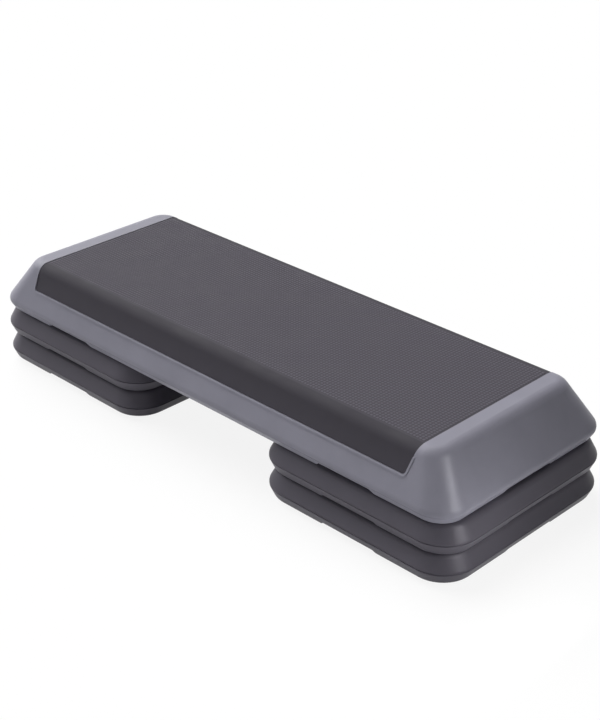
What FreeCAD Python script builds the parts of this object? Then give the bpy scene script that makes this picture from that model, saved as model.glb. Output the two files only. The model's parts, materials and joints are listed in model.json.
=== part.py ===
import FreeCAD, Part
import math
import os

from FreeCAD import Vector

# Aerobic step: a long blow-moulded platform with a bonded rubber mat, standing on two stacks of
# square risers. Millimetres, +X along the platform, +Z up, origin on the floor under its middle.

# Platform
platform_length = 1068.0        # across the widest line, before it is rounded
platform_width = 401.4
platform_height = 95.7          # from the underside of its rim to the top of its end strips
platform_corner_radius = 49.0   # in plan, where the platform is widest
top_corner_radius = 34.0        # in plan, at the top edge
widest_height = 21.4            # above the rim
side_top_inset = 38.5           # how far the long sides lean in, up to the top edge
end_top_inset = 50.0            # how far the ends lean in, up to the top edge
top_edge_radius = 25.0
belly_radius = 12.0             # round the widest line
platform_seam_height = 15.0     # mould seam above the rim
platform_seam_inset = 0.8
platform_seam_width = 1.4
platform_seam_depth = 0.9
platform_rim_inset = 9.5        # where the lower band meets the underside, before it is rounded
platform_rim_radius = 9.0
platform_notch_height = 10.5
side_notch_spacing = 667.0      # between the two finger notches of a long side
platform_recess_depth = 12.0
platform_groove_depth = 56.0
platform_groove_pitch = 150.0

# Mat
mat_length = 895.0              # along the top
mat_lower_length = 882.0        # along its lower edges
mat_thickness = 2.4
mat_recess_depth = 3.0
mat_edge_height = 54.0          # its lower edges above the platform's rim
mat_corner_radius = 6.0
mat_edge_gap = 0.6              # all round, between the mat and the recess
lip_width = 3.2                 # raised lip on the long sides, round the recess
lip_height = 1.0
lip_root = 1.5                  # how deep the lip's body starts under the surface
lip_end_drop = 2.0              # from where the long sides round over, down to the lip's ends
bond_line = 0.1                 # glue under the mat

# Risers
riser_length = 401.0
riser_height = 50.3             # from the underside of its rim to its top face
riser_corner_radius = 61.0      # in plan, where the riser is widest
riser_overhang = 11.0           # the outer end of a riser beyond the platform's end
riser_side_overhang = 2.5       # each side of a riser beyond the platform's side
riser_widest_height = 21.4      # above the rim
wall_lean = 28.4                # degrees that the wall leans in above the widest line
band_lean = 24.5                # degrees that the lower band leans in below it
shoulder_radius = 16.2
riser_belly_radius = 7.4
riser_rim_radius = 9.5
riser_seam_width = 2.2
riser_seam_depth = 1.5
riser_notch_height = 8.0
riser_recess_depth = 10.0
riser_groove_depth = 28.0
riser_groove_pitch = 76.0
level_names = ("lower", "upper")

# Both mouldings
rim_width = 46.0                # from the widest line to the recess in the underside
recess_corner_radius = 34.0
recess_draft = 10.0             # degrees
groove_width = 30.0
groove_corner_radius = 12.0
groove_draft = 6.0              # degrees
groove_margin = 34.0            # between a groove's ends and the recess wall
notch_length = 102.0            # finger notch, along its flat top
notch_run = 11.0                # of each sloped end

# Rubber feet
foot_radius = 9.0
foot_stand = 3.0                # how far a foot stands below the rim
foot_seat_depth = 3.0
foot_chamfer = 1.0
foot_edge_distance = 1.0        # from a foot to the rounded edges of the mouldings
seat_gap = 0.3                  # round a foot in its own seat
dimple_gap = 0.6                # round a foot in the dimple of the riser under it
face_gap = 0.3                  # between a riser's top face and the rim above it

# Cuts start this far outside the solid that they cut
overshoot = 2.0

# Derived sizes and places
riser_width = platform_width + 2 * riser_side_overhang
level_pitch = riser_height + face_gap
dimple_depth = foot_stand - face_gap
platform_rim_level = foot_stand + len(level_names) * level_pitch
riser_middle = platform_length / 2 + riser_overhang - riser_length / 2


def rounded_rectangle(half_x, half_y, radius, z):
    """Closed wire in plan, corners as arcs, starting on the same side each time."""
    corners = [(1, -1, -90), (1, 1, 0), (-1, 1, 90), (-1, -1, 180)]
    edges = []
    last = Vector(-half_x + radius, -half_y, z)
    for side_x, side_y, turn in corners:
        centre = Vector(side_x * (half_x - radius), side_y * (half_y - radius), z)
        start, middle, end = [
            centre + Vector(radius * math.cos(a), radius * math.sin(a), 0)
            for a in (math.radians(turn + step) for step in (0, 45, 90))
        ]
        edges.append(Part.LineSegment(last, start).toShape())
        edges.append(Part.Arc(start, middle, end).toShape())
        last = end
    return Part.Wire(edges)


def sections_loft(sections):
    """Solid through plan sections, each given as half_x, half_y, radius, z."""
    return Part.makeLoft([rounded_rectangle(*section) for section in sections], True, True)


def edges_at(shape, z):
    """Edges that lie level at a height."""
    tolerance = 1e-4
    return [e for e in shape.Edges
            if abs(e.BoundBox.ZMin - z) < tolerance and abs(e.BoundBox.ZMax - z) < tolerance]


def profile_face(pieces):
    """Face from a closed run of lines, given as 2 points, and arcs, given as 3."""
    edges = []
    for points in pieces:
        curve = Part.LineSegment if len(points) == 2 else Part.Arc
        edges.append(curve(*points).toShape())
    return Part.Face(Part.Wire(edges))


def underside_recess(half_x, half_y, depth):
    """Drafted panel recess, open downwards, its mouth level with the rim."""
    draft = math.tan(math.radians(recess_draft))
    sections = []
    for z in (-overshoot, depth):
        inset = rim_width + z * draft
        sections.append((half_x - inset, half_y - inset, recess_corner_radius, z))
    return sections_loft(sections)


def stiffening_grooves(half_x, half_y, floor, depth, pitch):
    """Row of drafted grooves across the width, pressed up from the floor of the recess."""
    draft = math.tan(math.radians(groove_draft))
    half_long = half_y - rim_width - groove_margin
    room = 2 * (half_x - rim_width - groove_margin) - groove_width
    count = int(room / pitch) + 1
    grooves = []
    for n in range(count):
        sections = []
        for z in (floor - overshoot, floor + depth):
            inset = (z - floor) * draft
            half_short = groove_width / 2 - inset
            radius = groove_corner_radius - inset
            sections.append((half_short, half_long - inset, radius, z))
        groove = sections_loft(sections)
        groove.translate(Vector((n - (count - 1) / 2) * pitch, 0, 0))
        grooves.append(groove)
    return grooves


def finger_notch(half_across, height):
    """Notch through the rim on the -Y side, from outside the widest line into the recess."""
    foot = notch_length / 2 + notch_run * (height + overshoot) / height
    outside = -half_across - overshoot
    corners = [
        Vector(-foot, outside, -overshoot),
        Vector(foot, outside, -overshoot),
        Vector(notch_length / 2, outside, height),
        Vector(-notch_length / 2, outside, height),
    ]
    outline = Part.Face(Part.makePolygon(corners + corners[:1]))
    return outline.extrude(Vector(0, rim_width + 2 * overshoot, 0))


def turned(shape, degrees):
    copy = shape.copy()
    copy.rotate(Vector(0, 0, 0), Vector(0, 0, 1), degrees)
    return copy


def moved(shape, x, y, z):
    copy = shape.copy()
    copy.translate(Vector(x, y, z))
    return copy


def foot_seat():
    """Cutter for the seat of a foot, about its axis, rim at zero."""
    return Part.makeCylinder(foot_radius + seat_gap, foot_seat_depth + overshoot,
                             Vector(0, 0, -overshoot))


def make_foot():
    """Rubber button, its lower edge bevelled, rim at zero."""
    button = Part.makeCylinder(foot_radius, foot_stand + foot_seat_depth,
                               Vector(0, 0, -foot_stand))
    return button.makeChamfer(foot_chamfer, edges_at(button, -foot_stand))


def riser_profile():
    """Section of the riser's edge in the YZ plane, how far in from the widest line its flat
    faces begin, and how deep the section goes."""
    wall = math.radians(wall_lean)
    band = math.radians(band_lean)

    def at(inset, z):
        return Vector(0, inset - riser_width / 2, z)

    def on_arc(centre, radius, angle):
        """Point of an arc, its angle from straight outwards, upwards positive."""
        return at(centre[0] - radius * math.cos(angle), centre[1] + radius * math.sin(angle))

    def arc(centre, radius, start, end):
        return tuple(on_arc(centre, radius, a) for a in (start, (start + end) / 2, end))

    shoulder_z = riser_height - shoulder_radius
    top_inset = ((shoulder_z - riser_widest_height) * math.tan(wall)
                 + shoulder_radius / math.cos(wall))
    rim_inset = ((riser_widest_height - riser_rim_radius) * math.tan(band)
                 + riser_rim_radius / math.cos(band))
    reach = riser_belly_radius / math.cos((wall + band) / 2)
    tilt = (wall - band) / 2
    belly = (reach * math.cos(tilt), riser_widest_height - reach * math.sin(tilt))
    seam_half = math.asin(riser_seam_width / 2 / riser_belly_radius)
    flat = max(top_inset, rim_inset)
    depth = (flat + riser_corner_radius) / 2

    shoulder = arc((top_inset, shoulder_z), shoulder_radius, math.pi / 2, wall)
    upper_belly = arc(belly, riser_belly_radius, wall, seam_half)
    lower_belly = arc(belly, riser_belly_radius, -seam_half, -band)
    rim = arc((rim_inset, riser_rim_radius), riser_rim_radius, -band, -math.pi / 2)
    seam = at(belly[0] - riser_belly_radius + riser_seam_depth, belly[1])
    top_in = at(depth, riser_height)
    bottom_in = at(depth, 0)
    face = profile_face([
        (top_in, shoulder[0]),
        shoulder,
        (shoulder[2], upper_belly[0]),
        upper_belly,
        (upper_belly[2], seam),
        (seam, lower_belly[0]),
        lower_belly,
        (lower_belly[2], rim[0]),
        rim,
        (rim[2], bottom_in),
        (bottom_in, top_in)])
    return face, flat, depth


def make_riser(foot_x, foot_y):
    """One riser about its own middle, rim at zero: edge profile swept round the plan outline."""
    half_x, half_y = riser_length / 2, riser_width / 2
    face, flat, depth = riser_profile()
    outline = rounded_rectangle(half_x, half_y, riser_corner_radius, 0)
    first = outline.OrderedEdges[0]
    middle = Vector(0, -half_y, 0)
    start = Part.LineSegment(middle, first.Vertexes[1].Point).toShape()
    finish = Part.LineSegment(first.Vertexes[0].Point, middle).toShape()
    path = Part.Wire([start] + outline.OrderedEdges[1:] + [finish])
    edge_ring = path.makePipeShell([face.OuterWire], True, False)
    core_wire = rounded_rectangle(half_x - depth, half_y - depth, riser_corner_radius - depth, 0)
    core = Part.Face(core_wire).extrude(Vector(0, 0, riser_height))
    body = edge_ring.fuse(core).removeSplitter()

    cutters = [underside_recess(half_x, half_y, riser_recess_depth)]
    cutters += stiffening_grooves(half_x, half_y, riser_recess_depth, riser_groove_depth,
                                  riser_groove_pitch)
    for turn in (0, 180):
        cutters.append(turned(finger_notch(half_y, riser_notch_height), turn))
        cutters.append(turned(finger_notch(half_x, riser_notch_height), turn + 90))
    seat = foot_seat()
    dimple = Part.makeCylinder(foot_radius + dimple_gap, dimple_depth + overshoot,
                               Vector(0, 0, riser_height - dimple_depth))
    for side_x in (-1, 1):
        for side_y in (-1, 1):
            cutters.append(moved(seat, side_x * foot_x, side_y * foot_y, 0))
            cutters.append(moved(dimple, side_x * foot_x, side_y * foot_y, 0))
    return body.cut(cutters)


def hoop(skin):
    """Run over the platform's sides and top in the YZ plane, a skin thickness under its surface."""
    half = platform_width / 2
    rise = platform_height - widest_height
    lean = math.atan2(side_top_inset, rise)
    low_y = half - skin / math.cos(lean)
    top_z = platform_height - skin
    corner_y = low_y - (top_z - widest_height) * math.tan(lean)
    r = top_edge_radius - skin
    reach = r * math.tan((math.pi / 2 - lean) / 2)
    middle = (lean + math.pi / 2) / 2
    axis_y, axis_z = corner_y - reach, top_z - r
    run = [
        (low_y, widest_height),
        (corner_y + reach * math.sin(lean), top_z - reach * math.cos(lean)),
        (axis_y + r * math.cos(middle), axis_z + r * math.sin(middle)),
        (axis_y, top_z)]
    right = [Vector(0, y, z) for y, z in run]
    left = [Vector(0, -y, z) for y, z in run]
    return left, right


def hoop_layer(outer_skin, inner_skin, margin):
    """Layer over the top and down both long sides, a margin larger than the mat all round."""
    out_l, out_r = hoop(outer_skin)
    in_l, in_r = hoop(inner_skin)
    section = profile_face([
        (out_l[0], out_l[1]), (out_l[1], out_l[2], out_l[3]), (out_l[3], out_r[3]),
        (out_r[3], out_r[2], out_r[1]), (out_r[1], out_r[0]), (out_r[0], in_r[0]),
        (in_r[0], in_r[1]), (in_r[1], in_r[2], in_r[3]), (in_r[3], in_l[3]),
        (in_l[3], in_l[2], in_l[1]), (in_l[1], in_l[0]), (in_l[0], out_l[0])])
    half_top = mat_length / 2 + margin
    half_low = mat_lower_length / 2 + margin
    section.translate(Vector(-half_top, 0, 0))
    layer = section.extrude(Vector(2 * half_top, 0, 0))
    # Window seen from the side: its ends lean in downwards to rounded lower corners.
    low = mat_edge_height - margin
    high = platform_height + 2 * overshoot
    corners = [Vector(x, -platform_width, z) for x, z in (
        (-half_top, high), (-half_top, platform_height), (-half_low, low),
        (half_low, low), (half_top, platform_height), (half_top, high))]
    outline = Part.Face(Part.makePolygon(corners + corners[:1]))
    window = outline.extrude(Vector(0, 2 * platform_width, 0))
    lower_edges = [e for e in edges_at(window, low) if e.BoundBox.YLength > platform_width]
    return layer.common(window.makeFillet(mat_corner_radius + margin, lower_edges))


def recess_lip():
    """Lip round the mat on both long sides, still filled where its recess will be."""
    layer = hoop_layer(-lip_height, lip_root, mat_edge_gap + lip_width)
    top = hoop(0)[1][1].z - lip_end_drop
    corner = Vector(-platform_length / 2, -platform_width / 2, 0)
    return layer.common(Part.makeBox(platform_length, platform_width, top, corner))


def make_platform(foot_places):
    """The platform moulding about its own middle, rim at zero."""
    half_x, half_y = platform_length / 2, platform_width / 2
    low_lean = (platform_rim_inset - platform_seam_inset) / platform_seam_height
    high_lean = platform_seam_inset / (widest_height - platform_seam_height)
    half_seam = platform_seam_width / 2

    def section(inset, z):
        return half_x - inset, half_y - inset, platform_corner_radius - inset, z

    body = sections_loft([
        section(platform_rim_inset, 0),
        section(platform_seam_inset + low_lean * half_seam, platform_seam_height - half_seam),
        section(platform_seam_inset + platform_seam_depth, platform_seam_height),
        section(platform_seam_inset - high_lean * half_seam, platform_seam_height + half_seam),
        section(0, widest_height),
        (half_x - end_top_inset, half_y - side_top_inset, top_corner_radius, platform_height)])
    body = body.makeFillet(top_edge_radius, edges_at(body, platform_height))
    body = body.makeFillet(belly_radius, edges_at(body, widest_height))
    body = body.makeFillet(platform_rim_radius, edges_at(body, 0))
    body = body.fuse(recess_lip())

    cutters = [hoop_layer(-overshoot, mat_recess_depth, mat_edge_gap)]
    cutters.append(underside_recess(half_x, half_y, platform_recess_depth))
    cutters += stiffening_grooves(half_x, half_y, platform_recess_depth, platform_groove_depth,
                                  platform_groove_pitch)
    side_notch = finger_notch(half_y, platform_notch_height)
    end_notch = finger_notch(half_x, platform_notch_height)
    for turn in (0, 180):
        for sign in (-1, 1):
            cutters.append(turned(moved(side_notch, sign * side_notch_spacing / 2, 0, 0), turn))
        cutters.append(turned(end_notch, turn + 90))
    for x, y in foot_places:
        cutters.append(moved(foot_seat(), x, y, 0))
    return body.cut(cutters)


def make_mat():
    outer = mat_recess_depth - mat_thickness - bond_line
    inner = mat_recess_depth - bond_line
    return hoop_layer(outer, inner, 0)


def export(shape, node):
    """Writes one node, as a single clean solid."""
    solids = shape.Solids
    if len(solids) != 1 or not solids[0].isValid():
        raise RuntimeError(node + " is not one valid solid")
    solids[0].exportStep(os.path.join("parts", node + ".step"))
    print(node, round(solids[0].Volume))


def main():
    os.makedirs("parts", exist_ok=True)
    flat = riser_profile()[1]
    diagonal = riser_corner_radius - flat - foot_edge_distance - foot_radius - dimple_gap
    from_side = riser_corner_radius - diagonal * math.sqrt(0.5)
    foot_x = riser_length / 2 - from_side
    foot_y = riser_width / 2 - from_side
    sides = (("left", -1), ("right", 1))
    ends = (("outer", 1), ("inner", -1))
    rows = (("front", -1), ("back", 1))
    foot = make_foot()

    riser = make_riser(foot_x, foot_y)
    for number, level in enumerate(level_names):
        z = foot_stand + number * level_pitch
        for side, sign in sides:
            node = level + "_" + side + "_riser"
            x = sign * riser_middle
            export(moved(riser, x, 0, z), node)
            for row, row_sign in rows:
                for end, end_sign in ends:
                    place = moved(foot, x + sign * end_sign * foot_x, row_sign * foot_y, z)
                    export(place, node + "_foot_" + row + "_" + end)

    outer_foot = riser_middle + foot_x
    places = [(sign * outer_foot, row_sign * foot_y) for _, sign in sides for _, row_sign in rows]
    export(moved(make_platform(places), 0, 0, platform_rim_level), "platform_deck")
    export(moved(make_mat(), 0, 0, platform_rim_level), "top_mat")
    for side, sign in sides:
        for row, row_sign in rows:
            place = moved(foot, sign * outer_foot, row_sign * foot_y, platform_rim_level)
            export(place, "platform_foot_" + row + "_" + side)


main()
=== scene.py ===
import json
import math

import bmesh
import bpy
from bpy.props import FloatProperty, FloatVectorProperty, IntProperty, PointerProperty
from mathutils import Color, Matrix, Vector

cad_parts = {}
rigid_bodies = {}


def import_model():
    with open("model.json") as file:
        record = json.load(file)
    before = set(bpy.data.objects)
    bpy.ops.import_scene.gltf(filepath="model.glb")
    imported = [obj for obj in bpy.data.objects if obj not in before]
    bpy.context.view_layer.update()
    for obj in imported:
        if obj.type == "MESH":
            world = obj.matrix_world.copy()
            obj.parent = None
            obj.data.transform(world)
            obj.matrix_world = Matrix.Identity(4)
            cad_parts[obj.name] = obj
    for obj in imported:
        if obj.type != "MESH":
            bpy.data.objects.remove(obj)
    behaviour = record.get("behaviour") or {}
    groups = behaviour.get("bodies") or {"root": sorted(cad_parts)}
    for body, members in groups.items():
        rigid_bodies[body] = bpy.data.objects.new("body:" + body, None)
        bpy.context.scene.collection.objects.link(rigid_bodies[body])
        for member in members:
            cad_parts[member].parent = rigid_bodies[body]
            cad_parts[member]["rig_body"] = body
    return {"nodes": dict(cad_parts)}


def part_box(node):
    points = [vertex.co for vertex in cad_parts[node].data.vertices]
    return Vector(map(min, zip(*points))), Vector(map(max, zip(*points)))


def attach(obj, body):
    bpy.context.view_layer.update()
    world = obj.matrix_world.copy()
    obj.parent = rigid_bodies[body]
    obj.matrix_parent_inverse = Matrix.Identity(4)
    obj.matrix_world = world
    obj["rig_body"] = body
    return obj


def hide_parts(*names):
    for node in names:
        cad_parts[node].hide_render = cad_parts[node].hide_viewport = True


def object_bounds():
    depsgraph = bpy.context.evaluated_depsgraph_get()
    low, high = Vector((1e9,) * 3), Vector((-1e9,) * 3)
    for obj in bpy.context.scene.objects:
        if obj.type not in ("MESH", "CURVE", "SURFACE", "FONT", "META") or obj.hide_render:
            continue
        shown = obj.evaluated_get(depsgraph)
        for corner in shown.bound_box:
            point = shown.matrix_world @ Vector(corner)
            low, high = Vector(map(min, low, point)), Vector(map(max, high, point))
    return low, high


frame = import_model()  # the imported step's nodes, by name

bl_info = {
    "name": "Aerobic Step",
    "version": (1, 0, 0),
    "blender": (4, 5, 0),
    "location": "View3D > Sidebar > Step",
    "description": "Dresses an aerobic step with its mat, rubber feet, moulded finishes and a stage",
    "category": "Object",
}

MM = 0.001  # a millimetre, in Blender's metres
RISER_NODES = [node for node in frame["nodes"] if node.endswith("_riser")]
FOOT_NODES = [node for node in frame["nodes"] if "_foot_" in node]
CAD_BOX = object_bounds()
NEAR = 0.01 * MM  # points closer than this are one
WEAR_AND_SHADE = "wear"  # a mesh's attribute, up to 1 where the rubber rubs paler; its dip over the mat's bend is painted shade
NOISE_SPAN = {"From Min": 0.3, "From Max": 0.7}  # holds nearly all values of a noise
WHITE = (1, 1, 1, 1)


def linear(srgb_hex):
    """Red, green and blue of an sRGB hex colour, in the linear light that Blender mixes in."""
    srgb = Color([byte / 255 for byte in bytes.fromhex(srgb_hex)])
    return tuple(srgb.from_srgb_to_scene_linear())


def scale_of(size):
    """Scale of a texture whose features are about that size, in metres."""
    return 1 / size


class PlatformSettings(bpy.types.PropertyGroup):
    """Finish of the blow-moulded platform."""

    colour: FloatVectorProperty(
        name="Colour",
        description="Pigment of the platform",
        default=linear("8a8995"),
        subtype="COLOR",
    )
    roughness: FloatProperty(
        name="Roughness",
        description="Mean roughness of the platform's skin",
        default=0.4,
        subtype="FACTOR",
    )


class RiserSettings(bpy.types.PropertyGroup):
    """Finish of the blow-moulded risers."""

    colour: FloatVectorProperty(
        name="Colour",
        description="Pigment of the risers",
        default=linear("5a5760"),
        subtype="COLOR",
    )
    roughness: FloatProperty(
        name="Roughness",
        description="Mean roughness of the risers' skin",
        default=0.43,
        subtype="FACTOR",
    )


class MatSettings(bpy.types.PropertyGroup):
    """Rubber mat that wraps over the platform's top and down its long sides."""

    thickness: FloatProperty(
        name="Thickness",
        description="Thickness of the rubber",
        default=2.4 * MM,
        unit="LENGTH",
    )
    edge_radius: FloatProperty(
        name="Edge Radius",
        description="Rounding of the mat's outer face over the long edges",
        default=24.5 * MM,
        unit="LENGTH",
    )
    side_lean: FloatProperty(
        name="Side Lean",
        description="Lean of the platform's long sides from upright",
        default=math.radians(27.4),
        subtype="ANGLE",
    )
    end_lean: FloatProperty(
        name="End Lean",
        description="Lean of the mat's ends on the long sides, seen from the side",
        default=math.radians(8.86),
        subtype="ANGLE",
    )
    corner_radius: FloatProperty(
        name="Corner Radius",
        description="Rounding of the lower corners",
        default=6 * MM,
        unit="LENGTH",
    )
    rim_bevel: FloatProperty(
        name="Rim Bevel",
        description="Softening of the cut rim",
        default=0.5 * MM,
        unit="LENGTH",
    )
    pip_pitch: FloatProperty(
        name="Pip Pitch",
        description="Pitch of the pips along and across the mat",
        default=6 * MM,  # the real pips are near 4 mm apart, too fine to show
        unit="LENGTH",
    )
    pip_height: FloatProperty(
        name="Pip Height",
        description="Height of the pips above the sheet",
        default=0.45 * MM,
        unit="LENGTH",
    )
    pip_wall: FloatProperty(
        name="Pip Wall",
        description="Width of a pip's sloped wall",
        default=1.4 * MM,
        unit="LENGTH",
    )
    pip_border: FloatProperty(
        name="Pip Border",
        description="Plain border at the ends of the field of pips, and half as much along its sides",
        default=3 * MM,
        unit="LENGTH",
    )
    colour: FloatVectorProperty(
        name="Colour",
        description="Colour of the rubber",
        default=linear("4d4a52"),
        subtype="COLOR",
    )


class FeetSettings(bpy.types.PropertyGroup):
    """Rubber feet pressed into the undersides of the mouldings."""

    chamfer: FloatProperty(
        name="Chamfer",
        description="Bevel round the foot's lower edge",
        default=1 * MM,
        unit="LENGTH",
    )
    rib_width: FloatProperty(
        name="Rib Width",
        description="Width of the rings moulded on the tread",
        default=1.2 * MM,
        unit="LENGTH",
    )
    groove_depth: FloatProperty(
        name="Groove Depth",
        description="Depth of the grooves between the rings",
        default=0.7 * MM,
        unit="LENGTH",
    )
    groove_wall: FloatProperty(
        name="Groove Wall",
        description="Width of a groove's sloped wall",
        default=0.4 * MM,
        unit="LENGTH",
    )
    facets: IntProperty(
        name="Facets",
        description="Sides of the foot's outline",
        default=40,
        min=12,
    )
    colour: FloatVectorProperty(
        name="Colour",
        description="Colour of the rubber",
        default=linear("2b2a2d"),
        subtype="COLOR",
    )


class StageSettings(bpy.types.PropertyGroup):
    """Floor, light and camera."""

    azimuth: FloatProperty(
        name="Azimuth",
        description="Camera's turn about the step, from its long front side",
        default=math.radians(44.73),
        subtype="ANGLE",
    )
    elevation: FloatProperty(
        name="Elevation",
        description="Camera's height above the horizon",
        default=math.radians(27.94),
        subtype="ANGLE",
    )
    distance: FloatProperty(
        name="Distance",
        description="From the camera to the point that it looks at",
        default=2.582,
        unit="LENGTH",
    )
    aim: FloatVectorProperty(
        name="Aim",
        description="Point that the camera looks at",
        default=(0.0225, 0.0263, 0.1097),
        subtype="TRANSLATION",
    )
    lens: FloatProperty(
        name="Lens",
        description="Focal length, in millimetres",
        default=75.31,
        unit="CAMERA",
    )
    sensor: FloatProperty(
        name="Sensor",
        description="Width of the camera's sensor, in millimetres",
        default=36.0,
        unit="CAMERA",
    )
    ambient: FloatProperty(
        name="Ambient",
        description="Even light from all round, 1 being a white surround",
        default=0.01,
    )
    key_light: FloatProperty(
        name="Key Light",
        description="Light of the bank above the left end, 1 lighting a facing surface as written",
        default=1.3,
    )
    fill_light: FloatProperty(
        name="Fill Light",
        description="Light of the low bank in front, 1 lighting a facing surface as written",
        default=0.1,
    )
    end_light: FloatProperty(
        name="End Light",
        description="Power of the low softbox beside the platform's near end",
        default=0.25,
        unit="POWER",
    )
    corner_light: FloatProperty(
        name="Corner Light",
        description="Power of the strip that draws a highlight down the near corner",
        default=0.33,
        unit="POWER",
    )


def add_node(tree, kind, settings, links):
    """Adds a node. Settings name its sockets or options, and links name the sockets that other
    nodes feed, each as the node and its output."""
    node = tree.nodes.new("ShaderNode" + kind)
    sockets = {socket.identifier: socket for socket in node.inputs}
    for name, value in settings.items():
        if name in sockets:
            sockets[name].default_value = value
        else:
            setattr(node, name, value)
    for name, (source, output) in links.items():
        outputs = {socket.identifier: socket for socket in source.outputs}
        tree.links.new(outputs[output], sockets[name])
    return node


def empty_material(name):
    material = bpy.data.materials.new(name)
    material.use_nodes = True
    material.node_tree.nodes.clear()
    return material


def add_skin(tree, optics, colour, shade, gloss, relief):
    """Adds the shader of a moulded skin and the material's output. Shade, gloss and relief give the
    pigment's brightness, the roughness and the normal, each as a node and its output."""
    pigment = add_node(tree, "HueSaturation", {"Color": (*colour, 1)}, {"Value": shade})
    skin = add_node(
        tree,
        "BsdfPrincipled",
        optics,
        {"Base Color": (pigment, "Color"), "Roughness": gloss, "Normal": relief},
    )
    add_node(tree, "OutputMaterial", {}, {"Surface": (skin, "BSDF")})


def moulded_polyethylene(name, colour, roughness):
    """Blow-moulded polyethylene, pigmented right through. The blasted mould leaves a fine matt
    grain, and the cooling wall a slow waviness that bends its soft highlights."""
    mottle_size = 60 * MM
    wave_size = 45 * MM
    wave_height = 0.12 * MM
    grain_size = 1.6 * MM  # the real grain is near 0.3 mm, too fine to show
    grain_height = 0.03 * MM
    shades = {"To Min": 0.95, "To Max": 1.04}
    polish = 0.04
    dulls = {"To Min": roughness - polish, "To Max": roughness + polish}
    optics = {"IOR": 1.53, "Specular IOR Level": 0.14}
    material = empty_material(name)
    tree = material.node_tree
    place = add_node(tree, "TexCoord", {}, {})
    at_place = {"Vector": (place, "Object")}
    mottle = add_node(tree, "TexNoise", {"Scale": scale_of(mottle_size), "Detail": 4.0}, at_place)
    shade = add_node(tree, "MapRange", {**NOISE_SPAN, **shades}, {"Value": (mottle, "Fac")})
    gloss = add_node(tree, "MapRange", {**NOISE_SPAN, **dulls}, {"Value": (mottle, "Fac")})
    wave = add_node(tree, "TexNoise", {"Scale": scale_of(wave_size), "Detail": 1.0}, at_place)
    wavy = add_node(
        tree, "Bump", {"Distance": wave_height, "Strength": 1.0}, {"Height": (wave, "Fac")}
    )
    grain = add_node(tree, "TexNoise", {"Scale": scale_of(grain_size), "Detail": 2.0}, at_place)
    grained = add_node(
        tree,
        "Bump",
        {"Distance": grain_height, "Strength": 1.0},
        {"Height": (grain, "Fac"), "Normal": (wavy, "Normal")},
    )
    add_skin(tree, optics, colour, (shade, "Result"), (gloss, "Result"), (grained, "Normal"))
    return material


def moulded_rubber(name, colour):
    """Compression-moulded rubber, matt and a little chalky. Use rubs it paler by the mesh's attribute,
    most on the raised tread; where that attribute dips, as over the mat's bend, the darker rubber is
    painted shade."""
    bloom_size = 35 * MM
    grain_size = 1.2 * MM  # the real grain is near 0.2 mm, too fine to show
    grain_height = 0.04 * MM
    shades = {"To Min": 0.94, "To Max": 1.06}
    # pale where worn, dark elsewhere; over the mat's bend the dark is painted shade
    rubbing_and_shading = {"To Min": 0.55, "To Max": 1.32}
    dulls = {"To Min": 0.62, "To Max": 0.74}
    optics = {"IOR": 1.52, "Specular IOR Level": 0.12}
    material = empty_material(name)
    tree = material.node_tree
    place = add_node(tree, "TexCoord", {}, {})
    at_place = {"Vector": (place, "Object")}
    bloom = add_node(tree, "TexNoise", {"Scale": scale_of(bloom_size), "Detail": 5.0}, at_place)
    cloud = add_node(tree, "MapRange", {**NOISE_SPAN, **shades}, {"Value": (bloom, "Fac")})
    wear = add_node(tree, "Attribute", {"attribute_name": WEAR_AND_SHADE}, {})
    rubbed_and_shaded = add_node(tree, "MapRange", rubbing_and_shading, {"Value": (wear, "Fac")})
    shade = add_node(
        tree,
        "Math",
        {"operation": "MULTIPLY"},
        {"Value": (cloud, "Result"), "Value_001": (rubbed_and_shaded, "Result")},
    )
    gloss = add_node(tree, "MapRange", {**NOISE_SPAN, **dulls}, {"Value": (bloom, "Fac")})
    grain = add_node(tree, "TexNoise", {"Scale": scale_of(grain_size), "Detail": 2.0}, at_place)
    grained = add_node(
        tree, "Bump", {"Distance": grain_height, "Strength": 1.0}, {"Height": (grain, "Fac")}
    )
    add_skin(tree, optics, colour, (shade, "Value"), (gloss, "Result"), (grained, "Normal"))
    return material


def seen_directly(tree):
    """Output that is 1 for camera, glossy and transmission rays and 0 for the rest."""
    ray = add_node(tree, "LightPath", {}, {})
    either = add_node(
        tree,
        "Math",
        {"operation": "MAXIMUM"},
        {"Value": (ray, "Is Camera Ray"), "Value_001": (ray, "Is Glossy Ray")},
    )
    any_of = add_node(
        tree,
        "Math",
        {"operation": "MAXIMUM"},
        {"Value": (either, "Value"), "Value_001": (ray, "Is Transmission Ray")},
    )
    return any_of, "Value"


def seamless_paper():
    """Seamless white paper, which throws light up under the step. Seen directly or in a reflection,
    most of its white is a glow, so that the step's shadow on it stays pale."""
    paper = 0.85
    seen_paper = 0.12
    glow = 0.88
    material = empty_material("seamless_paper")
    tree = material.node_tree
    seen = seen_directly(tree)
    white = add_node(tree, "MapRange", {"To Min": paper, "To Max": seen_paper}, {"Value": seen})
    plain = add_node(tree, "BsdfDiffuse", {}, {"Color": (white, "Result")})
    light = add_node(tree, "Math", {"operation": "MULTIPLY", "Value_001": glow}, {"Value": seen})
    lit = add_node(tree, "Emission", {"Color": WHITE}, {"Strength": (light, "Value")})
    surface = add_node(
        tree, "AddShader", {}, {"Shader": (plain, "BSDF"), "Shader_001": (lit, "Emission")}
    )
    add_node(tree, "OutputMaterial", {}, {"Surface": (surface, "Shader")})
    return material


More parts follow.
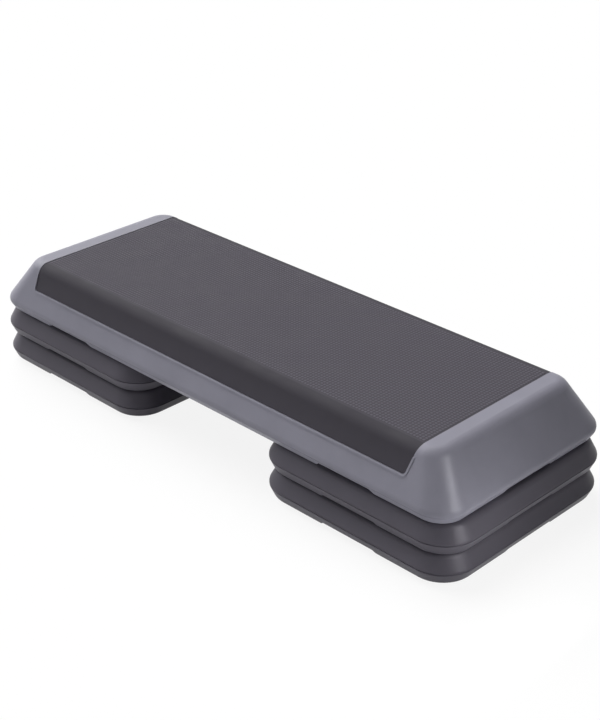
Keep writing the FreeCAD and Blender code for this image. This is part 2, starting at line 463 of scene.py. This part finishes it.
def studio_world(ambient):
    """Even light from all round, and plain white where it is seen."""
    world = bpy.data.worlds.new("studio")
    world.use_nodes = True
    tree = world.node_tree
    tree.nodes.clear()
    strength = add_node(
        tree, "MapRange", {"To Min": ambient, "To Max": 1.0}, {"Value": seen_directly(tree)}
    )
    sky = add_node(tree, "Background", {"Color": WHITE}, {"Strength": (strength, "Result")})
    add_node(tree, "OutputWorld", {}, {"Surface": (sky, "Background")})
    return world


def deselect_objects():
    for piece in bpy.context.selected_objects:
        piece.select_set(False)


def select_where(piece, kind, test):
    """In edit mode, selects only those verts, edges or faces whose middle passes a test."""
    bpy.ops.mesh.select_mode(type={"verts": "VERT", "edges": "EDGE", "faces": "FACE"}[kind])
    bpy.ops.mesh.select_all(action="DESELECT")
    shape = bmesh.from_edit_mesh(piece.data)
    for element in getattr(shape, kind):
        points = [element.co] if kind == "verts" else [vert.co for vert in element.verts]
        middle = sum(points, Vector()) / len(points)
        element.select_set(test(middle))
    shape.select_flush_mode()
    bmesh.update_edit_mesh(piece.data)


def apply_modifiers(piece):
    bpy.context.view_layer.objects.active = piece
    for modifier in list(piece.modifiers):
        bpy.ops.object.modifier_apply(modifier=modifier.name)


def mark_wear_and_shade(piece, wear_and_shade_at):
    """Writes a mesh's attribute, which pales worn rubber and on the mat also paints shade, from a
    function of each point.
    """
    wear = piece.data.attributes.new(WEAR_AND_SHADE, "FLOAT", "POINT")
    for vert, value in zip(piece.data.vertices, wear.data):
        value.value = wear_and_shade_at(vert.co)


def set_material(piece, material):
    piece.data.materials.clear()
    piece.data.materials.append(material)


class STEP_OT_finish_platform(bpy.types.Operator):
    """Give the platform moulding its finish"""

    bl_idname = "step.finish_platform"
    bl_label = "Finish Platform"

    def execute(self, context):
        values = context.scene.step_platform
        finish = moulded_polyethylene(
            "platform_polyethylene_grey", values.colour, values.roughness
        )
        set_material(frame["nodes"]["platform_deck"], finish)
        return {"FINISHED"}


class STEP_OT_finish_risers(bpy.types.Operator):
    """Give the riser mouldings their finish"""

    bl_idname = "step.finish_risers"
    bl_label = "Finish Risers"

    def execute(self, context):
        values = context.scene.step_risers
        finish = moulded_polyethylene(
            "riser_polyethylene_charcoal", values.colour, values.roughness
        )
        for node in RISER_NODES:
            set_material(frame["nodes"][node], finish)
        return {"FINISHED"}


def bent_sheet(values, low, high):
    """The mat's outer face, bent over the platform's long edges and cut to its outline. Returns it
    and the half width of its flat top."""
    round_steps = 8
    spare = 20 * MM  # goes when the ends are cut
    middle = (low + high) / 2
    lean = values.side_lean
    bend = math.pi / 2 - lean
    drop = high.z - low.z
    corner = high.y - middle.y - drop * math.tan(lean)  # half the top's width with no bend
    flat = corner - values.edge_radius * math.tan(bend / 2)
    slope = drop - values.edge_radius * (1 - math.cos(bend))

    bpy.ops.mesh.primitive_plane_add(size=1, location=(middle.x, middle.y, high.z))
    sheet = bpy.context.object
    sheet.scale = (high.x - low.x + spare, 2 * flat, 1)
    bpy.ops.object.transform_apply()
    bpy.ops.object.mode_set(mode="EDIT")
    for side in (-1, 1):
        edge = middle.y + side * flat
        select_where(sheet, "edges", lambda co: abs(co.y - edge) < NEAR)
        bpy.ops.mesh.spin(
            steps=round_steps,
            angle=side * bend,
            center=(middle.x, edge, high.z - values.edge_radius),
            axis=(1, 0, 0),
        )
        run = (0, side * slope * math.tan(lean), -slope)
        bpy.ops.mesh.extrude_edges_move(TRANSFORM_OT_translate={"value": run})
    for end in (-1, 1):
        bpy.ops.mesh.select_all(action="SELECT")
        bpy.ops.mesh.bisect(
            plane_co=(high.x if end > 0 else low.x, middle.y, high.z),
            plane_no=(end * math.cos(values.end_lean), 0, -math.sin(values.end_lean)),
            clear_outer=True,
        )
    select_where(sheet, "verts", lambda co: abs(co.z - low.z) < NEAR)
    bpy.ops.mesh.bevel(
        offset=values.corner_radius * math.tan((math.pi / 2 - values.end_lean) / 2),
        segments=round_steps,
        affect="VERTICES",
    )
    bpy.ops.mesh.select_all(action="SELECT")
    bpy.ops.mesh.remove_doubles(threshold=NEAR)
    bpy.ops.mesh.normals_make_consistent(inside=False)
    bpy.ops.object.mode_set(mode="OBJECT")
    return sheet, flat


def thicken_sheet(values, sheet, low):
    """Gives the sheet the rubber's thickness inwards, trims its lower rims level and softens the
    cut rim all round."""
    rim_steps = 2
    rim_angle = math.radians(50)
    wall = sheet.modifiers.new("wall", "SOLIDIFY")
    wall.thickness = values.thickness
    wall.offset = -1
    wall.use_even_offset = True
    apply_modifiers(sheet)
    bpy.ops.object.mode_set(mode="EDIT")
    bpy.ops.mesh.select_all(action="SELECT")
    bpy.ops.mesh.bisect(plane_co=low, plane_no=(0, 0, -1), clear_outer=True, use_fill=True)
    bpy.ops.object.mode_set(mode="OBJECT")
    rim = sheet.modifiers.new("rim", "BEVEL")
    rim.width = values.rim_bevel
    rim.segments = rim_steps
    rim.limit_method = "ANGLE"
    rim.angle_limit = rim_angle
    apply_modifiers(sheet)


def pip_field(values, centre, half_length, half_width):
    """Field of square pips in rows along and across the mat, as a grid with each cell raised."""
    bpy.ops.mesh.primitive_grid_add(
        x_subdivisions=round(2 * half_length / values.pip_pitch),
        y_subdivisions=round(2 * half_width / values.pip_pitch),
        size=1,
        location=centre,
    )
    field = bpy.context.object
    field.scale = (2 * half_length, 2 * half_width, 1)
    bpy.ops.object.transform_apply()
    bpy.ops.object.mode_set(mode="EDIT")
    bpy.ops.mesh.select_all(action="SELECT")
    bpy.ops.mesh.inset(
        thickness=values.pip_wall,
        depth=values.pip_height,
        use_individual=True,
        use_boundary=True,
    )
    bpy.ops.object.mode_set(mode="OBJECT")
    return field


def plant_pips(values, mat, centre, half_length, half_width, hem):
    """Opens the mat's flat top inside a narrow hem, sets the field of pips there and closes the gap
    between them."""
    bpy.ops.object.mode_set(mode="EDIT")
    select_where(mat, "faces", lambda co: (co - centre).length < NEAR)
    bpy.ops.mesh.inset(thickness=hem)
    bpy.ops.mesh.delete(type="FACE")
    bpy.ops.object.mode_set(mode="OBJECT")
    deselect_objects()
    field = pip_field(values, centre, half_length, half_width)
    mat.select_set(True)
    field.select_set(True)
    bpy.context.view_layer.objects.active = mat
    bpy.ops.object.join()
    bpy.ops.object.mode_set(mode="EDIT")
    bpy.ops.mesh.select_mode(type="EDGE")
    bpy.ops.mesh.select_all(action="DESELECT")
    bpy.ops.mesh.select_non_manifold()
    bpy.ops.mesh.fill()
    bpy.ops.mesh.select_all(action="SELECT")
    bpy.ops.mesh.remove_doubles(threshold=NEAR)
    bpy.ops.mesh.normals_make_consistent(inside=False)
    if not all(edge.is_manifold for edge in bmesh.from_edit_mesh(mat.data).edges):
        raise RuntimeError("the mat's mesh isn't closed")
    bpy.ops.object.mode_set(mode="OBJECT")


class STEP_OT_lay_mat(bpy.types.Operator):
    """Model the wrapped rubber mat with its field of pips, in place of its plain solid"""

    bl_idname = "step.lay_mat"
    bl_label = "Lay Mat"

    def execute(self, context):
        values = context.scene.step_mat
        crease = math.radians(15)
        border_wear = 0.5
        rim_wear = 0.29
        # the border's tread fades over this into the bend's painted shade
        fade_into_bend_shade = 5 * MM
        side_border = values.pip_border / 2
        hem = side_border / 2  # leaves a gap to close between the hem and the pips
        low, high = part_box("top_mat")
        deselect_objects()
        mat, flat = bent_sheet(values, low, high)
        thicken_sheet(values, mat, low)
        centre = Vector(((low.x + high.x) / 2, (low.y + high.y) / 2, high.z))
        half_length = (high.x - low.x) / 2 - values.pip_border
        half_width = flat - side_border
        plant_pips(values, mat, centre, half_length, half_width, hem)

        def wear_and_shade_at(co):
            """Full on the pips, none in the valleys between them, and some on the plain border. It
            fades out at the bend and grows again down the slope, which hands rub in lifting; the
            dark band that this leaves on the bend is painted shade."""
            if co.z > high.z + NEAR:
                return 1.0
            past_pips = abs(co.y - centre.y) - half_width
            if past_pips < NEAR and abs(co.x - centre.x) < half_length + NEAR:
                return 0.0
            # painted shade: the border's tread fades to nothing over the bend, darkening it
            trodden_and_bend_shade = min(1.0, max(0.0, 1 - past_pips / fade_into_bend_shade))
            handled = (high.z - co.z) / (high.z - low.z)
            return border_wear * trodden_and_bend_shade + rim_wear * handled

        mat.name = "grip_mat"
        bpy.ops.object.shade_smooth_by_angle(angle=crease)
        mark_wear_and_shade(mat, wear_and_shade_at)
        set_material(mat, moulded_rubber("mat_rubber", values.colour))
        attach(mat, "platform")
        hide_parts("top_mat")
        return {"FINISHED"}


def ribbed_foot(values, low, high):
    """Round foot, bevelled below, with rings and grooves by turns on its tread round a plain middle."""
    crease = math.radians(20)
    plain_steps = 2  # radius of the plain middle, in steps from a ring to the next groove
    middle = (low + high) / 2
    radius = (high.x - low.x) / 2
    step = values.rib_width + values.groove_wall
    bpy.ops.mesh.primitive_circle_add(
        vertices=values.facets,
        radius=radius,
        fill_type="NGON",
        location=(middle.x, middle.y, low.z + values.chamfer),
    )
    foot = bpy.context.object
    bpy.ops.object.transform_apply()
    bpy.ops.object.mode_set(mode="EDIT")
    bpy.ops.mesh.select_all(action="SELECT")
    bpy.ops.mesh.extrude_region_move(
        TRANSFORM_OT_translate={"value": (0, 0, high.z - low.z - values.chamfer)}
    )
    bpy.ops.mesh.select_all(action="SELECT")
    bpy.ops.mesh.normals_make_consistent(inside=False)
    select_where(foot, "faces", lambda co: co.z < low.z + values.chamfer + NEAR)
    bpy.ops.mesh.inset(thickness=values.chamfer, depth=values.chamfer)
    depth = -values.groove_depth
    for _ in range(round((radius - values.chamfer) / step) - plain_steps):
        bpy.ops.mesh.inset(thickness=values.rib_width)
        bpy.ops.mesh.inset(thickness=values.groove_wall, depth=depth)
        depth = -depth
    bpy.ops.object.mode_set(mode="OBJECT")
    bpy.ops.object.shade_smooth_by_angle(angle=crease)
    return foot


class STEP_OT_press_feet(bpy.types.Operator):
    """Model the ribbed rubber foot once and press a copy into every seat"""

    bl_idname = "step.press_feet"
    bl_label = "Press Feet"

    def execute(self, context):
        values = context.scene.step_feet
        low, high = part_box(FOOT_NODES[0])
        deselect_objects()
        pattern = ribbed_foot(values, low, high)
        mark_wear_and_shade(pattern, lambda co: float(co.z < low.z + NEAR))
        set_material(pattern, moulded_rubber("foot_rubber", values.colour))
        for node in FOOT_NODES:
            deselect_objects()
            pattern.select_set(True)
            bpy.ops.object.duplicate()
            foot = context.selected_objects[0]
            bpy.ops.transform.translate(value=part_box(node)[0] - low)
            bpy.ops.object.transform_apply()
            foot.name = node.replace("_foot_", "_ribbed_foot_")
            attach(foot, frame["nodes"][node]["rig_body"])
            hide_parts(node)
        bpy.data.objects.remove(pattern)
        return {"FINISHED"}


def towards(azimuth, elevation):
    """Direction from the step to a place round it, azimuth 0 being in front of its long side."""
    return Vector((
        math.sin(azimuth) * math.cos(elevation),
        -math.cos(azimuth) * math.cos(elevation),
        math.sin(elevation),
    ))


def lay_floor():
    """Floor under the lowest point of the step, wide enough to fill the view."""
    side = 60.0
    bpy.ops.mesh.primitive_plane_add(size=side, location=(0, 0, CAD_BOX[0].z))
    floor = bpy.context.object
    floor.name = "floor"
    set_material(floor, seamless_paper())


def hang_bank(name, level, source):
    """Wide bank of light, far off in a direction. Level 1 is a sun of pi watts per square metre, which
    lights a facing white surface to about white."""
    spread = math.radians(60)
    bpy.ops.object.light_add(
        type="SUN", location=source, rotation=source.to_track_quat("Z", "Y").to_euler()
    )
    bank = bpy.context.object
    bank.name = name
    bank.data.energy = level * math.pi
    bank.data.angle = spread


def hang_softbox(name, power, target, offset, size):
    """Soft box at an offset from the point that it looks at, left out of the camera's view."""
    bpy.ops.object.light_add(
        type="AREA",
        location=target + offset,
        rotation=offset.to_track_quat("Z", "Y").to_euler(),
    )
    softbox = bpy.context.object
    softbox.name = name
    softbox.visible_camera = False
    softbox.data.energy = power
    softbox.data.shape = "RECTANGLE"
    softbox.data.size, softbox.data.size_y = size
    return softbox


def light_near_corner(values):
    """Lights the platform's near end and corner, each by its own softbox."""
    corner_inset = 40 * MM
    end_from = towards(azimuth=math.radians(92), elevation=0)
    end_distance = 0.25
    end_size = (0.12, 0.15)
    strip_from = towards(azimuth=math.radians(95), elevation=math.radians(28))
    strip_distance = 0.45
    strip_size = (0.12, 0.45)
    strip_beam = math.radians(50)
    low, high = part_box("platform_deck")
    near_corner = Vector((high.x - corner_inset, low.y + corner_inset, (low.z + high.z) / 2))

    # The end light brightens the faces, with no reflection of its own.
    end_light = hang_softbox(
        "end_light", values.end_light, near_corner, end_from * end_distance, end_size
    )
    end_light.visible_glossy = False

    # The strip draws the highlight down the corner, and shows only as a reflection.
    strip = hang_softbox(
        "corner_light", values.corner_light, near_corner, strip_from * strip_distance, strip_size
    )
    strip.visible_diffuse = False
    strip.data.spread = strip_beam


def place_camera(values):
    """Camera at its distance from the point that it looks at, used for the scene's view."""
    back = towards(values.azimuth, values.elevation)
    bpy.ops.object.camera_add(
        location=Vector(values.aim) + back * values.distance,
        rotation=back.to_track_quat("Z", "Y").to_euler(),
    )
    camera = bpy.context.object
    camera.data.lens = values.lens
    camera.data.sensor_width = values.sensor
    bpy.context.scene.camera = camera


class STEP_OT_set_stage(bpy.types.Operator):
    """Lay the floor, hang the lights and place the camera"""

    bl_idname = "step.set_stage"
    bl_label = "Set Stage"

    def execute(self, context):
        values = context.scene.step_stage
        key_from = towards(azimuth=math.radians(-96), elevation=math.radians(49))
        fill_from = towards(azimuth=math.radians(-20), elevation=math.radians(8))
        deselect_objects()
        lay_floor()
        hang_bank("key_light", values.key_light, key_from)
        hang_bank("fill_light", values.fill_light, fill_from)
        light_near_corner(values)
        context.scene.world = studio_world(values.ambient)
        context.scene.view_settings.view_transform = "Standard"
        place_camera(values)
        return {"FINISHED"}


class STEP_PT_sidebar(bpy.types.Panel):
    """Lists the pieces of the step, with their settings"""

    bl_idname = "STEP_PT_sidebar"
    bl_label = "Aerobic Step"
    bl_space_type = "VIEW_3D"
    bl_region_type = "UI"
    bl_category = "Step"

    def draw(self, context):
        for operator, group, _ in STEPS:
            column = self.layout.column(align=True)
            column.operator(operator.bl_idname)
            values = getattr(context.scene, group)
            for name in values.bl_rna.properties.keys():
                if name not in ("rna_type", "name"):
                    column.prop(values, name)


STEPS = (
    (STEP_OT_finish_platform, "step_platform", PlatformSettings),
    (STEP_OT_finish_risers, "step_risers", RiserSettings),
    (STEP_OT_lay_mat, "step_mat", MatSettings),
    (STEP_OT_press_feet, "step_feet", FeetSettings),
    (STEP_OT_set_stage, "step_stage", StageSettings),
)


def register():
    for operator, group, settings in STEPS:
        bpy.utils.register_class(settings)
        setattr(bpy.types.Scene, group, PointerProperty(type=settings))
        bpy.utils.register_class(operator)
    bpy.utils.register_class(STEP_PT_sidebar)


def unregister():
    bpy.utils.unregister_class(STEP_PT_sidebar)
    for operator, group, settings in reversed(STEPS):
        bpy.utils.unregister_class(operator)
        delattr(bpy.types.Scene, group)
        bpy.utils.unregister_class(settings)


def main():
    register()
    bpy.ops.step.finish_platform()
    bpy.ops.step.finish_risers()
    bpy.ops.step.lay_mat()
    bpy.ops.step.press_feet()
    bpy.ops.step.set_stage()


if __name__ == "__main__":
    main()
